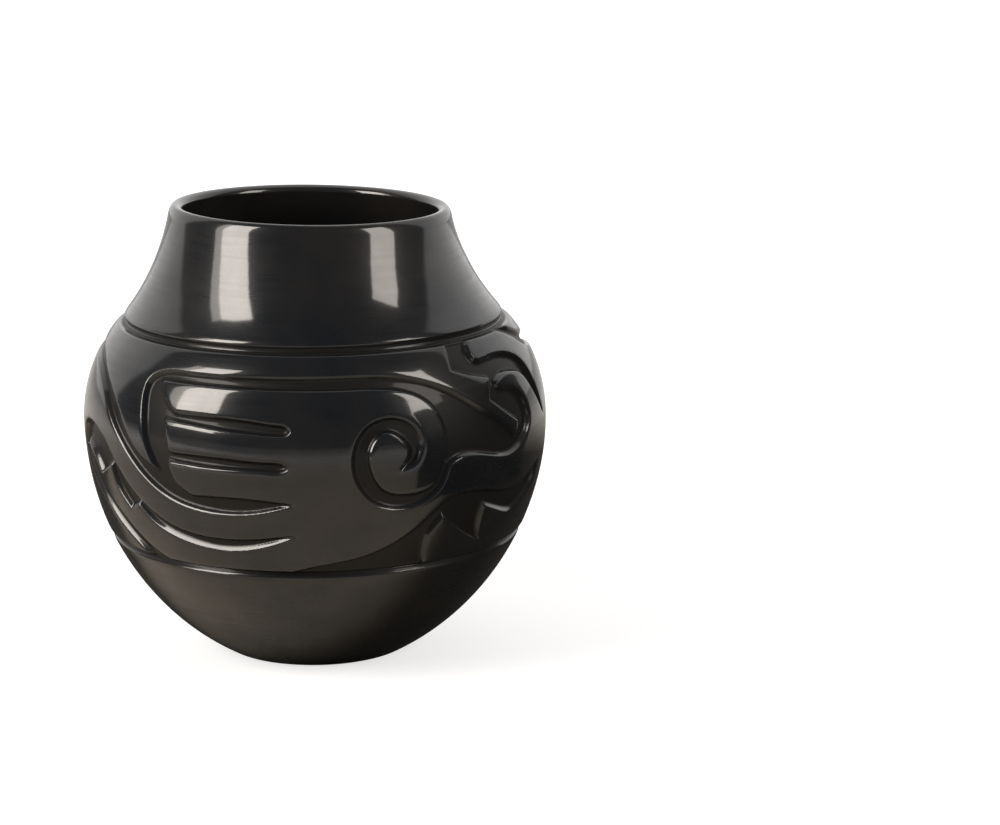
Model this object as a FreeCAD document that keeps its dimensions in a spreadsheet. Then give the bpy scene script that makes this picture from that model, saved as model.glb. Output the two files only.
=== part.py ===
import FreeCAD, Part
import math
import os

import Sketcher
from FreeCAD import Vector

# A hand-built pueblo jar of polished black clay with a carved band round its belly.
# The jar turns about Z and stands on Z = 0.  Its front looks along -Y.
# Millimetres.  Azimuths are degrees from the front, growing towards +X.

SIZES = {
    "belly_radius": 111.4,
    "belly_level": 114.4,
    "bowl_arc_radius": 126.0,
    "bowl_top_level": 26.0,
    "lower_belly_arc_radius": 131.6,
    "shoulder_arc_radius": 70.8,
    "shoulder_top_level": 162.0,
    "neck_arc_radius": 105.2,
    "neck_top_level": 208.0,
    "jar_height": 216.9,
    "rim_radius": 67.1,
    "rim_thickness": 6.8,
    "wall": 6.5,
    "floor_thickness": 7.0,
    "foot_rounding": 3.0,
    "base_top_level": 30.0,
    "neck_foot_level": 186.0,
    "figure_foot_level": 60.0,
    "figure_height": 100.0,
    "lower_groove_width": 2.7,
    "upper_groove_width": 4.3,
    "carving_depth": 2.6,
    "knife_overrun": 16.0,
    # The middle of the groove over the band, as a share of the figures' height.
    "upper_groove_share": 1.03,
}

# Sizes that follow from the ones above, as the sheet's own formulas.
DERIVED = {
    "shoulder_centre_radius": "=belly_radius - shoulder_arc_radius",
    "shoulder_sine": "=(shoulder_top_level - belly_level) / shoulder_arc_radius",
    "neck_centre_radius": "=shoulder_centre_radius"
                          " + (shoulder_arc_radius + neck_arc_radius) * sqrt(1 - shoulder_sine ^ 2)",
    "neck_centre_level": "=belly_level + (shoulder_arc_radius + neck_arc_radius) * shoulder_sine",
    "lower_centre_radius": "=belly_radius - lower_belly_arc_radius",
    "bowl_sine": "=(bowl_top_level - belly_level) / lower_belly_arc_radius",
    "bowl_centre_radius": "=lower_centre_radius"
                          " + (lower_belly_arc_radius - bowl_arc_radius) * sqrt(1 - bowl_sine ^ 2)",
    "bowl_centre_level": "=belly_level + (lower_belly_arc_radius - bowl_arc_radius) * bowl_sine",
    "neck_top_drop": "=neck_centre_level - neck_top_level",
    "neck_top_radius": "=neck_centre_radius - sqrt(neck_arc_radius ^ 2 - neck_top_drop ^ 2)",
    "neck_top_bore": "=neck_centre_radius - sqrt((neck_arc_radius + wall) ^ 2 - neck_top_drop ^ 2)",
    "lip_radius": "=rim_thickness / 2",
    "lip_level": "=jar_height - lip_radius",
    "lip_centre_radius": "=rim_radius - lip_radius",
    "band_foot_level": "=figure_foot_level - lower_groove_width / 2",
    "lower_groove_top_level": "=figure_foot_level + lower_groove_width / 2",
    "upper_groove_level": "=figure_foot_level + figure_height * upper_groove_share",
    "upper_groove_foot_level": "=upper_groove_level - upper_groove_width / 2",
    "band_top_level": "=upper_groove_level + upper_groove_width / 2",
    "knife_radius": "=belly_radius + knife_overrun",
    "knife_inner_radius": "=belly_radius - 2 * knife_overrun",
}

# One panel of the carving covers half a turn, and the jar has it front and back.
PANEL_COUNT = 2
HALF_TURN = 180
FULL_TURN = 360
# Outlines are drawn with the front at half a turn from +X, and this turn brings it to -Y.
FRONT_TURN = 90

# Each outline is a chain of strokes.  A stroke of two points is straight and a longer one
# is a smooth curve, and it starts where the stroke before it ended.  A point is an azimuth
# in degrees and a share of the figures' height over their foot.

# Ground round the stepped head band: down its stepped end, back under it, up the long
# sweep behind it, then along the sweep's lower edge, the feathers' slots, the scroll,
# the open jaw and the two curled plumes.
MOUTH_SHARES = [
    [(49.2, 1.02), (39.9, 1.02)],
    [(39.9, 1.02), (38.2, 0.91)],
    [(38.2, 0.91), (44.3, 0.874), (50.5, 0.847)],
    [(50.5, 0.847), (48.3, 0.751)],
    [(48.3, 0.751), (55.6, 0.657), (58.7, 0.623)],
    [(58.7, 0.623), (58.1, 0.584), (56.9, 0.55)],
    [(56.9, 0.55), (53.4, 0.608), (45.8, 0.701), (38.3, 0.796), (31.2, 0.863), (19.3, 0.914), (9.8, 0.922)],
    [(9.8, 0.922), (-37.5, 0.917)],
    [(-37.5, 0.917), (-43.5, 0.903), (-46.7, 0.867), (-46.8, 0.75), (-45, 0.601), (-41.3, 0.467)],
    [(-41.3, 0.467), (-49, 0.551), (-56.9, 0.71), (-66.8, 0.828), (-75.6, 0.892), (-89.8, 0.926),
     (-103, 0.985), (-111, 1.035)],
    [(-111, 1.035), (-121, 1.03)],
    [(-121, 1.03), (-110, 0.99), (-100, 0.905), (-83.8, 0.866), (-74.8, 0.841), (-67.9, 0.791), (-60, 0.67),
     (-51.9, 0.526), (-45.9, 0.432), (-37.9, 0.347), (-27.9, 0.305), (-15.1, 0.311), (-6, 0.353)],
    [(-6, 0.353), (-12.2, 0.367), (-22.1, 0.375), (-31, 0.369)],
    [(-31, 0.369), (-36, 0.432), (-37.7, 0.521)],
    [(-37.7, 0.521), (-28.1, 0.513), (-18.2, 0.505), (-9.2, 0.507), (-7, 0.532), (-9.2, 0.548), (-20.1, 0.559),
     (-37.3, 0.563)],
    [(-37.3, 0.563), (-38.3, 0.64), (-39, 0.697)],
    [(-39, 0.697), (-25, 0.675), (-9.1, 0.677), (-6.2, 0.698), (-9, 0.722), (-20, 0.742), (-36, 0.752)],
    [(-36, 0.752), (-39.9, 0.791), (-42.5, 0.876)],
    [(-42.5, 0.876), (12.8, 0.872)],
    [(12.8, 0.872), (19.4, 0.861), (25.7, 0.827), (29.7, 0.771), (32, 0.681), (32.5, 0.582), (31.4, 0.473)],
    [(31.4, 0.473), (35.4, 0.518), (43.6, 0.514), (55.1, 0.48), (60.4, 0.515), (64.6, 0.603), (64, 0.681),
     (60.2, 0.758), (53.7, 0.784)],
    [(53.7, 0.784), (52.1, 0.812), (54.5, 0.842), (60.5, 0.846), (65.6, 0.822), (69.8, 0.741), (76.6, 0.592)],
    [(76.6, 0.592), (72.8, 0.751), (69.6, 0.855), (63.1, 0.914), (51.1, 0.924), (47.1, 0.939), (46.7, 0.97),
     (49.2, 1.02)],
]

# The groove that winds inside the scroll and runs out into the open mouth.
SCROLL_SHARES = [
    [(20.3, 0.504), (23.7, 0.527), (25.5, 0.603), (24.4, 0.68), (18.5, 0.738), (11.9, 0.7),
     (8.5, 0.562), (9.8, 0.437), (14.1, 0.348), (19.8, 0.317), (26.9, 0.342), (30.8, 0.404), (32.9, 0.503)],
    [(32.9, 0.503), (31.3, 0.503)],
    [(31.3, 0.503), (29.8, 0.424), (26.4, 0.386), (21.2, 0.377), (16, 0.406), (12.9, 0.499),
     (13.1, 0.621), (16.7, 0.678), (20.8, 0.641), (22.6, 0.582), (20.3, 0.504)],
]

# The hollow under the sweep, with its stepped side and the slanting groove to its left.
HOLLOW_SHARES = [
    [(-5.4, 0.201), (-14.9, 0.176), (-24.8, 0.166), (-34.7, 0.184), (-42.6, 0.234), (-49.6, 0.313), (-56.8, 0.432),
     (-63.9, 0.544), (-72, 0.588), (-78, 0.551), (-80.4, 0.451)],
    [(-80.4, 0.451), (-75.8, 0.357), (-67.3, 0.234), (-58.9, 0.117), (-50.4, 0)],
    [(-50.4, 0), (-41.3, 0)],
    [(-41.3, 0), (-49.1, 0.066), (-56.9, 0.166), (-65.4, 0.274), (-76.4, 0.496)],
    [(-76.4, 0.496), (-71.9, 0.466), (-66.2, 0.372)],
    [(-66.2, 0.372), (-59.8, 0.437)],
    [(-59.8, 0.437), (-58.1, 0.353), (-53.1, 0.245)],
    [(-53.1, 0.245), (-49.5, 0.284)],
    [(-49.5, 0.284), (-44.5, 0.209), (-34.6, 0.142), (-24.8, 0.118), (-13.9, 0.145), (-5.4, 0.201)],
]

# The hollow under the jaw, with its row of teeth.
TEETH_SHARES = [
    [(-8.9, 0), (-0.1, 0.041), (9.6, 0.074), (17.1, 0.12), (24, 0.193), (29.5, 0.277)],
    [(29.5, 0.277), (33.3, 0.324), (41.1, 0.343), (48.8, 0.318), (56.3, 0.298), (63.6, 0.317), (72.5, 0.365)],
    [(72.5, 0.365), (70.9, 0.279), (65.9, 0.225), (60, 0.185), (52.6, 0.212), (45.7, 0.261)],
    [(45.7, 0.261), (45, 0.176), (46.4, 0.084)],
    [(46.4, 0.084), (39.2, 0.155), (32.3, 0.25)],
    [(32.3, 0.25), (28.2, 0.144), (29.1, 0)],
    [(29.1, 0), (-8.9, 0)],
]

FIGURES = {
    "mouth": MOUTH_SHARES,
    "scroll": SCROLL_SHARES,
    "hollow": HOLLOW_SHARES,
    "teeth": TEETH_SHARES,
}

document = FreeCAD.newDocument("pueblo_jar")
sheet = document.addObject("Spreadsheet::Sheet", "sizes")

# How a sketch numbers a curve's points, its own origin and its axes.
START, END, CENTRE = 1, 2, 3
ORIGIN = -1
ACROSS_AXIS = -1
TURNING_AXIS = -2
rule = Sketcher.Constraint


def fill_sheet():
    row = 1
    for name, value in list(SIZES.items()) + list(DERIVED.items()):
        sheet.set("A%d" % row, name)
        sheet.set("B%d" % row, str(value))
        sheet.setAlias("B%d" % row, name)
        row += 1
    document.recompute()


def size(name):
    return float(sheet.get(name))


class Profile:
    """The jar's outline as four arcs, each tangent to the next, moved in by an inset."""

    def __init__(self, inset):
        self.bowl_radius = size("bowl_arc_radius") - inset
        self.lower_radius = size("lower_belly_arc_radius") - inset
        self.shoulder_radius = size("shoulder_arc_radius") - inset
        self.neck_radius = size("neck_arc_radius") + inset
        self.belly_level = size("belly_level")
        self.bowl_centre = Vector(size("bowl_centre_radius"), size("bowl_centre_level"), 0)
        self.lower_centre = Vector(size("lower_centre_radius"), self.belly_level, 0)
        self.shoulder_centre = Vector(size("shoulder_centre_radius"), self.belly_level, 0)
        self.neck_centre = Vector(size("neck_centre_radius"), size("neck_centre_level"), 0)
        self.bowl_turn = math.asin(size("bowl_sine"))
        self.shoulder_turn = math.asin(size("shoulder_sine"))
        self.bowl_top = self.belly_level + self.lower_radius * size("bowl_sine")
        self.shoulder_top = self.belly_level + self.shoulder_radius * size("shoulder_sine")

    def radius_at(self, level):
        """The outline's distance from the axis at a level."""
        if level > self.shoulder_top:
            drop = self.neck_centre.y - level
            return self.neck_centre.x - math.sqrt(self.neck_radius ** 2 - drop ** 2)
        if level > self.belly_level:
            centre, radius = self.shoulder_centre, self.shoulder_radius
        elif level > self.bowl_top:
            centre, radius = self.lower_centre, self.lower_radius
        else:
            centre, radius = self.bowl_centre, self.bowl_radius
        return centre.x + math.sqrt(radius ** 2 - (level - centre.y) ** 2)


def start_body(name):
    """A body with an empty sketch on its own XZ plane."""
    body = document.addObject("PartDesign::Body", name)
    sketch = body.newObject("Sketcher::SketchObject", name + "_section")
    plane = [feature for feature in body.Origin.OriginFeatures if feature.Role == "XZ_Plane"][0]
    sketch.AttachmentSupport = [(plane, "")]
    sketch.MapMode = "FlatFace"
    return body, sketch


def turn_section(body, sketch):
    """Turn the sketch once round the jar's axis."""
    turned = body.newObject("PartDesign::Revolution", body.Name + "_turned")
    turned.Profile = (sketch, [""])
    turned.ReferenceAxis = (sketch, ["V_Axis"])
    turned.Angle = FULL_TURN
    body.Tip = turned
    return turned


def constrain(sketch, expression, *constraint):
    """Add a dimension whose value follows the sheet."""
    index = sketch.addConstraint(rule(*constraint))
    sketch.setExpression("Constraints[%d]" % index, expression)


def arc(centre, radius, start, end):
    return Part.ArcOfCircle(Part.Circle(centre, Vector(0, 0, 1), radius), start, end)


def line(start, end):
    return Part.LineSegment(Vector(start[0], start[1], 0), Vector(end[0], end[1], 0))


def make_form(name, inset="", foot=""):
    """A solid of the jar's whole outline up to the neck's top.

    Inset and foot are names in the sheet, or empty for none.  All forms share their arcs'
    centres, so the clay between two of them is even in thickness.
    """
    body, sketch = start_body(name)
    inset_text = "sizes." + inset if inset else "0"
    profile = Profile(size(inset) if inset else 0)
    foot_level = size(foot) if foot else 0
    top_level = size("neck_top_level")
    foot_turn = math.asin((foot_level - profile.bowl_centre.y) / profile.bowl_radius)
    top_turn = math.asin((top_level - profile.neck_centre.y) / profile.neck_radius)
    sketch.addGeometry([
        line((0, foot_level), (profile.radius_at(foot_level), foot_level)),
        arc(profile.bowl_centre, profile.bowl_radius, foot_turn, profile.bowl_turn),
        arc(profile.lower_centre, profile.lower_radius, profile.bowl_turn, 0),
        arc(profile.shoulder_centre, profile.shoulder_radius, 0, profile.shoulder_turn),
        arc(profile.neck_centre, profile.neck_radius, math.pi - top_turn, math.pi + profile.shoulder_turn),
        line((profile.radius_at(top_level), top_level), (0, top_level)),
        line((0, top_level), (0, foot_level)),
    ], False)
    foot_line, bowl, lower, shoulder, neck, top_line, axis_line = range(7)
    sketch.addConstraint([
        rule("Horizontal", foot_line),
        rule("Coincident", foot_line, END, bowl, START),
        rule("Tangent", bowl, END, lower, START),
        rule("Tangent", lower, END, shoulder, START),
        rule("Tangent", shoulder, END, neck, END),
        rule("Coincident", neck, START, top_line, START),
        rule("Horizontal", top_line),
        rule("Coincident", top_line, END, axis_line, START),
        rule("Vertical", axis_line),
        rule("Coincident", axis_line, END, foot_line, START),
        rule("PointOnObject", foot_line, START, TURNING_AXIS),
    ])
    constrain(sketch, "sizes.belly_radius - %s" % inset_text,
              "DistanceX", ORIGIN, START, lower, END, size("belly_radius"))
    constrain(sketch, "sizes.belly_level", "DistanceY", ORIGIN, START, lower, END, profile.belly_level)
    constrain(sketch, "sizes.belly_level", "DistanceY", ORIGIN, START, lower, CENTRE, profile.belly_level)
    constrain(sketch, "sizes.bowl_arc_radius - %s" % inset_text, "Radius", bowl, profile.bowl_radius)
    constrain(sketch, "sizes.lower_belly_arc_radius - %s" % inset_text, "Radius", lower, profile.lower_radius)
    constrain(sketch, "sizes.shoulder_arc_radius - %s" % inset_text, "Radius", shoulder, profile.shoulder_radius)
    constrain(sketch, "sizes.neck_arc_radius + %s" % inset_text, "Radius", neck, profile.neck_radius)
    constrain(sketch, "sizes.belly_level + (sizes.lower_belly_arc_radius - %s) * sizes.bowl_sine" % inset_text,
              "DistanceY", ORIGIN, START, bowl, END, profile.bowl_top)
    constrain(sketch, "sizes.belly_level + (sizes.shoulder_arc_radius - %s) * sizes.shoulder_sine" % inset_text,
              "DistanceY", ORIGIN, START, shoulder, END, profile.shoulder_top)
    constrain(sketch, "sizes.neck_top_level", "DistanceY", ORIGIN, START, neck, START, top_level)
    if foot:
        constrain(sketch, "sizes." + foot, "DistanceY", ORIGIN, START, foot_line, START, foot_level)
    else:
        sketch.addConstraint(rule("PointOnObject", foot_line, START, ACROSS_AXIS))
    turn_section(body, sketch)
    return body


def round_foot(body):
    """Round the edge where the form's flat foot turns up into the bowl."""
    document.recompute()
    turned = body.Tip
    names = ["Edge%d" % (index + 1) for index, edge in enumerate(turned.Shape.Edges)
             if edge.BoundBox.ZLength < edge.BoundBox.XLength and edge.CenterOfMass.z < size("foot_rounding")
             and edge.Closed]
    fillet = body.newObject("PartDesign::Fillet", "foot_edge")
    fillet.Base = (turned, names)
    fillet.setExpression("Radius", "sizes.foot_rounding")
    body.Tip = fillet


def make_rim_coil():
    """The last coil, which stands on the neck and is rounded over into the lip."""
    body, sketch = start_body("rim_coil")
    foot_level = size("neck_top_level")
    lip_level = size("lip_level")
    lip_centre = Vector(size("lip_centre_radius"), lip_level, 0)
    bore_foot = (size("neck_top_bore"), foot_level)
    outer_foot = (size("neck_top_radius"), foot_level)
    outer_top = (lip_centre.x + size("lip_radius"), lip_level)
    bore_top = (lip_centre.x - size("lip_radius"), lip_level)
    sketch.addGeometry([
        line(bore_foot, outer_foot),
        line(outer_foot, outer_top),
        arc(lip_centre, size("lip_radius"), 0, math.pi),
        line(bore_top, bore_foot),
    ], False)
    foot_line, outer_line, lip, bore_line = range(4)
    sketch.addConstraint([
        rule("Horizontal", foot_line),
        rule("Coincident", foot_line, END, outer_line, START),
        rule("Coincident", outer_line, END, lip, START),
        rule("Coincident", lip, END, bore_line, START),
        rule("Coincident", bore_line, END, foot_line, START),
        rule("Horizontal", lip, START, lip, CENTRE),
        rule("Horizontal", lip, END, lip, CENTRE),
    ])
    constrain(sketch, "sizes.neck_top_level", "DistanceY", ORIGIN, START, foot_line, START, foot_level)
    constrain(sketch, "sizes.neck_top_bore", "DistanceX", ORIGIN, START, foot_line, START, bore_foot[0])
    constrain(sketch, "sizes.neck_top_radius", "DistanceX", ORIGIN, START, foot_line, END, outer_foot[0])
    constrain(sketch, "sizes.lip_centre_radius", "DistanceX", ORIGIN, START, lip, CENTRE, lip_centre.x)
    constrain(sketch, "sizes.lip_level", "DistanceY", ORIGIN, START, lip, CENTRE, lip_level)
    constrain(sketch, "sizes.lip_radius", "Radius", lip, size("lip_radius"))
    turn_section(body, sketch)
    return body


def cut(name, base, tool):
    result = document.addObject("Part::Cut", name)
    result.Base = base
    result.Tool = tool
    return result


def make_slab(name, foot, top):
    """A disc between two levels, wider than the jar."""
    slab = document.addObject("Part::Cylinder", name)
    slab.setExpression("Radius", "sizes.knife_radius")
    slab.setExpression("Height", "%s - %s" % (top, foot))
    slab.setExpression(".Placement.Base.z", foot)
    return slab


def make_course(name, source, foot, top):
    """The clay between two levels, as one course of the wall."""
    course = document.addObject("Part::Common", name)
    course.Base = source
    course.Tool = make_slab(name + "_slab", foot, top)
    return course


def outline_curves(shares, profile):
    """An outline's strokes, drawn over azimuth and the elevation seen from the belly's middle."""
    curves = []
    for stroke in shares:
        points = []
        for azimuth, share in stroke:
            level = size("figure_foot_level") + share * size("figure_height")
            elevation = math.atan2(level - profile.belly_level, profile.radius_at(level))
            points.append(FreeCAD.Base.Vector2d(math.radians(HALF_TURN + azimuth), elevation))
        if len(points) == 2:
            curves.append(Part.Geom2d.Line2dSegment(*points))
        else:
            curve = Part.Geom2d.BSplineCurve2d()
            curve.interpolate(points)
            curves.append(curve)
    return curves


def make_knife(name, shares, turn, profile):
    """A solid that stands on an outline, every side of it along rays from the belly's middle."""
    rims = []
    faces = []
    curves = outline_curves(shares, profile)
    for radius in (size("knife_inner_radius"), size("knife_radius")):
        ball = Part.Sphere()
        ball.Radius = radius
        rim = [curve.toShape(ball) for curve in curves]
        rims.append(rim)
        faces.append(Part.Face(ball, Part.Wire(rim)))
    for inner_edge, outer_edge in zip(*rims):
        faces.append(Part.makeRuledSurface(inner_edge, outer_edge))
    shell = Part.makeShell(faces)
    shell.sewShape()
    solid = Part.makeSolid(shell)
    if solid.Volume < 0:
        solid.reverse()
    knife = document.addObject("Part::Feature", name)
    knife.Shape = solid
    knife.Placement = FreeCAD.Placement(
        Vector(0, 0, profile.belly_level), FreeCAD.Rotation(Vector(0, 0, 1), turn))
    return knife


def make_grooves(ground):
    """The clay that is turned away as a groove under the band and another over it."""
    rings = document.addObject("Part::MultiFuse", "rings")
    rings.Shapes = [
        make_slab("lower_groove", "sizes.band_foot_level", "sizes.lower_groove_top_level"),
        make_slab("upper_groove", "sizes.upper_groove_foot_level", "sizes.band_top_level"),
    ]
    return cut("grooves", rings, ground)


def make_carving(ground):
    """The clay that is carved away round the figures."""
    profile = Profile(0)
    knives = []
    for panel in range(PANEL_COUNT):
        turn = FRONT_TURN + panel * FULL_TURN / PANEL_COUNT
        for figure, shares in FIGURES.items():
            knives.append(make_knife("%s_knife_%d" % (figure, panel + 1), shares, turn, profile))
    joined = document.addObject("Part::MultiFuse", "knives")
    joined.Shapes = knives
    return cut("carving", joined, ground)


def make_belly_wall(name, shell, grooves, carving, foot, top):
    """One course of the band, grooved and carved, with its faces kept as spline patches."""
    plain = make_course(name + "_plain", shell, foot, top)
    grooved = cut(name + "_grooved", plain, grooves)
    carved = cut(name + "_carved", grooved, carving)
    document.recompute()
    wall = document.addObject("Part::Feature", name)
    wall.Shape = carved.Shape.toNurbs()
    return wall


fill_sheet()
outer_form = make_form("outer_form")
round_foot(outer_form)
hollow_form = make_form("hollow_form", "wall", "floor_thickness")
ground_form = make_form("ground_form", "carving_depth")
clay_shell = cut("clay_shell", outer_form, hollow_form)
grooves = make_grooves(ground_form)
carving = make_carving(ground_form)
pieces = [
    make_course("base_pat", clay_shell, "0", "sizes.base_top_level"),
    make_course("bowl_wall", clay_shell, "sizes.base_top_level", "sizes.band_foot_level"),
    make_belly_wall("lower_belly_wall", clay_shell, grooves, carving, "sizes.band_foot_level", "sizes.belly_level"),
    make_belly_wall("upper_belly_wall", clay_shell, grooves, carving, "sizes.belly_level", "sizes.band_top_level"),
    make_course("shoulder_wall", clay_shell, "sizes.band_top_level", "sizes.neck_foot_level"),
    make_course("neck_wall", clay_shell, "sizes.neck_foot_level", "sizes.neck_top_level"),
    make_rim_coil(),
]
document.recompute()

for entry in document.Objects:
    if "Invalid" in entry.State or "Error" in entry.State:
        raise RuntimeError("%s did not build" % entry.Name)

os.makedirs("parts", exist_ok=True)
for piece in pieces:
    piece.Label = piece.Name
    shape = piece.Shape
    if shape.isNull() or not shape.isValid() or len(shape.Solids) != 1:
        raise RuntimeError("%s is not one sound solid" % piece.Label)
    print("%-18s %10.0f mm3" % (piece.Label, shape.Volume))
    shape.exportStep("parts/%s.step" % piece.Label)
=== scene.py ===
import math

import bpy
import numpy as np
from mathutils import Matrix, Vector


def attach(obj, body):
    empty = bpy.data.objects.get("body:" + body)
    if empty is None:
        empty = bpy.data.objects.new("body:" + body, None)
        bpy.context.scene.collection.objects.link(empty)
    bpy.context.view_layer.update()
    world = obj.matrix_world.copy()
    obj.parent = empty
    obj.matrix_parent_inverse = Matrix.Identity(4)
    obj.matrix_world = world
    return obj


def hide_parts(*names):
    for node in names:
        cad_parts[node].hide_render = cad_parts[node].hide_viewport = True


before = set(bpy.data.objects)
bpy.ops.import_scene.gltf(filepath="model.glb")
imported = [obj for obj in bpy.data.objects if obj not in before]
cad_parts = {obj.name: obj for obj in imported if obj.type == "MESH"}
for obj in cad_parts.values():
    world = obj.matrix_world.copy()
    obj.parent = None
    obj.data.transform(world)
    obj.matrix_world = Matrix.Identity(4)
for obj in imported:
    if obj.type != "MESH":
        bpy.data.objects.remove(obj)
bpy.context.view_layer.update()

# A burnished black pueblo jar. Metres. The jar turns about Z, stands on Z = 0 and its front looks along -Y.
# An azimuth is in degrees from the front, growing towards +X.

mm = 0.001
mergeDistance = 0.01 * mm


def clearSelection():
    if bpy.context.object and bpy.context.object.mode != "OBJECT":
        bpy.ops.object.mode_set(mode="OBJECT")
    bpy.ops.object.select_all(action="DESELECT")


# Camera

cameraFit = {
    "distance": 1418.8 * mm,  # from the jar's axis, along -Y
    "height": 431.3 * mm,
    "yaw": 3.603,  # degrees to the right
    "pitch": 12.635,  # degrees down
    "lens": 108,  # millimetres, as the sensor's width
    "sensor": 36,
}


def makeCamera(values):
    clearSelection()
    bpy.ops.object.camera_add(
        location=(0, -values["distance"], values["height"]),
        rotation=(math.radians(90 - values["pitch"]), 0, math.radians(-values["yaw"])))
    camera = bpy.context.object
    camera.name = "Camera"
    camera.data.sensor_width = values["sensor"]
    camera.data.lens = values["lens"]
    camera.data.clip_end = 50
    bpy.context.scene.camera = camera


makeCamera(cameraFit)
print("camera placed")

# The jar's outline: four arcs, each tangent to the next, and a rounded lip

jarForm = {
    "bellyRadius": 111.4 * mm,
    "bellyLevel": 114.4 * mm,
    "bowlArc": 126.0 * mm,
    "bowlTop": 26.0 * mm,
    "lowerArc": 131.6 * mm,
    "shoulderArc": 70.8 * mm,
    "shoulderTop": 162.0 * mm,
    "neckArc": 105.2 * mm,
    "height": 216.9 * mm,
    "rimRadius": 67.1 * mm,
    "wall": 6.5 * mm,
    "floor": 7.0 * mm,
    "footRounding": 3.0 * mm,
}


class Outline:
    # Each arc is its centre's distance from the axis, its centre's height and its radius.
    # An inset moves the whole outline into the clay.
    def __init__(self, form, inset):
        belly, level = form["bellyRadius"], form["bellyLevel"]
        self.level = level
        shoulderTurn = math.asin((form["shoulderTop"] - level) / form["shoulderArc"])
        bowlTurn = math.asin((form["bowlTop"] - level) / form["lowerArc"])
        spread = form["shoulderArc"] + form["neckArc"]
        gap = form["lowerArc"] - form["bowlArc"]
        self.shoulder = (belly - form["shoulderArc"], level, form["shoulderArc"] - inset)
        self.lower = (belly - form["lowerArc"], level, form["lowerArc"] - inset)
        self.neck = (self.shoulder[0] + spread * math.cos(shoulderTurn),
                     level + spread * math.sin(shoulderTurn), form["neckArc"] + inset)
        self.bowl = (self.lower[0] + gap * math.cos(bowlTurn),
                     level + gap * math.sin(bowlTurn), form["bowlArc"] - inset)
        self.shoulderTop = level + self.shoulder[2] * math.sin(shoulderTurn)
        self.bowlTop = level + self.lower[2] * math.sin(bowlTurn)

    def radius(self, z):
        if z > self.shoulderTop:
            x, y, r = self.neck
            return x - math.sqrt(r * r - (z - y) ** 2)
        x, y, r = self.shoulder if z > self.level else self.lower if z > self.bowlTop else self.bowl
        return x + math.sqrt(r * r - (z - y) ** 2)

    def slope(self, z):  # how fast the radius grows with height
        step = 0.05 * mm
        return (self.radius(z + step) - self.radius(z - step)) / (2 * step)


outside = Outline(jarForm, 0)
inside = Outline(jarForm, jarForm["wall"])

# The carving

carving = {
    "depth": 2.6 * mm,
    "foot": 60.0 * mm,  # the middle of the lower groove, where the figures' shares begin
    "height": 100.0 * mm,
    "upperGroove": 1.03,  # its middle, as a share of the figures' height
    "lowerGrooveWidth": 2.7 * mm,
    "upperGrooveWidth": 4.3 * mm,
    "edgeOut": 0.3 * mm,  # how far the wall's top reaches over the raised clay
    "edgeIn": 2.0 * mm,  # how far the wall's foot reaches into the ground
    "shoulder": 0.4 * mm,  # the raised clay falls by this towards its edge
    "shoulderReach": 3.6 * mm,
    "normalReach": 0.8 * mm,  # over which the carving's fall is measured
    "reach": 4.0 * mm,  # distances from an outline are worked out to here
}
upperGrooveLevel = carving["foot"] + carving["height"] * carving["upperGroove"]

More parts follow.
